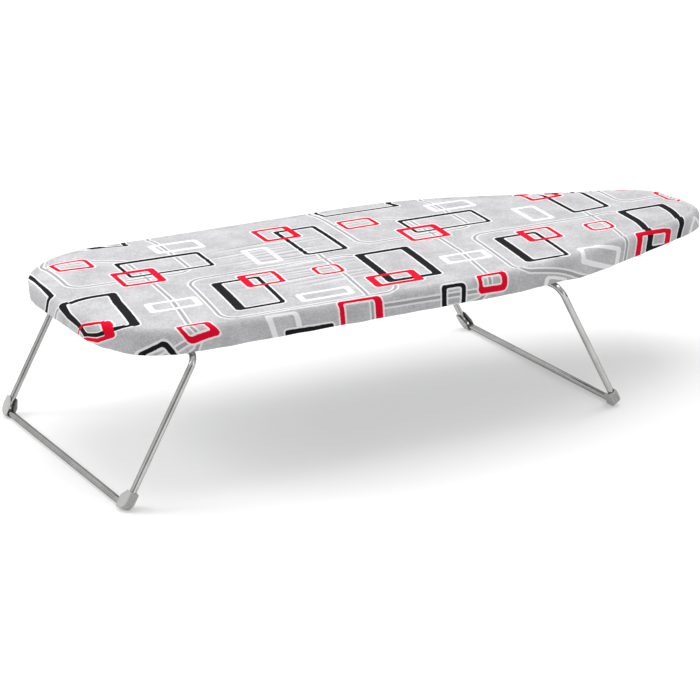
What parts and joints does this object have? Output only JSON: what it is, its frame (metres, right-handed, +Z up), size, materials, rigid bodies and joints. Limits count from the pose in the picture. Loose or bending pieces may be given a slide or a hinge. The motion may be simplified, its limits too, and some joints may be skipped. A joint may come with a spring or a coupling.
{
  "type": "tabletop ironing board",
  "caption": "Low tabletop ironing board: padded steel panel with a rounded heel and tapered nose in a fitted fabric cover, on folding wire legs with corner shoes.",
  "frame": {"origin": "on the table, under the middle of the object's bounding box", "axes": "+X along the board from the heel end towards the nose, +Y across the board to the left of someone looking towards the nose, +Z up"},
  "size_m": [0.7385, 0.2936, 0.166],
  "materials": {
    "cover_fabric": "pale grey heather cotton with a printed pattern of plain rounded rectangles",
    "foam": "matt foam",
    "elastic": "ribbed white elastic",
    "panel_steel": "satin grey coated sheet steel",
    "hinge_steel": "zinc plated sheet steel",
    "leg_wire": "bright plated wire",
    "shoe_plastic": "light grey moulded plastic"
  },
  "bodies": {
    "board": {"cover": "cover_fabric", "pad": "foam", "hem_elastic": "elastic", "panel": "panel_steel", "heel_rail": "panel_steel", "nose_rail": "panel_steel", "heel_hinge_left": "hinge_steel", "heel_hinge_right": "hinge_steel", "nose_hinge_left": "hinge_steel", "nose_hinge_right": "hinge_steel", "heel_rivet_left_1": "hinge_steel", "heel_rivet_left_2": "hinge_steel", "heel_rivet_right_1": "hinge_steel", "heel_rivet_right_2": "hinge_steel", "nose_rivet_left_1": "hinge_steel", "nose_rivet_left_2": "hinge_steel", "nose_rivet_right_1": "hinge_steel", "nose_rivet_right_2": "hinge_steel"},
    "heel_leg": {"heel_leg_wire": "leg_wire", "heel_shoe_left": "shoe_plastic", "heel_shoe_right": "shoe_plastic"},
    "nose_leg": {"nose_leg_wire": "leg_wire", "nose_shoe_left": "shoe_plastic", "nose_shoe_right": "shoe_plastic"}
  },
  "joints": [
    {"name": "heel_leg_fold", "type": "hinge", "parent": "board", "child": "heel_leg", "pos_m": [-0.2852, 0, 0.1389], "axis": [0, -1, 0], "range_deg": [0, 118.2]},
    {"name": "nose_leg_fold", "type": "hinge", "parent": "board", "child": "nose_leg", "pos_m": [0.1183, 0, 0.1389], "axis": [0, 1, 0], "range_deg": [0, 118.2]}
  ]
}
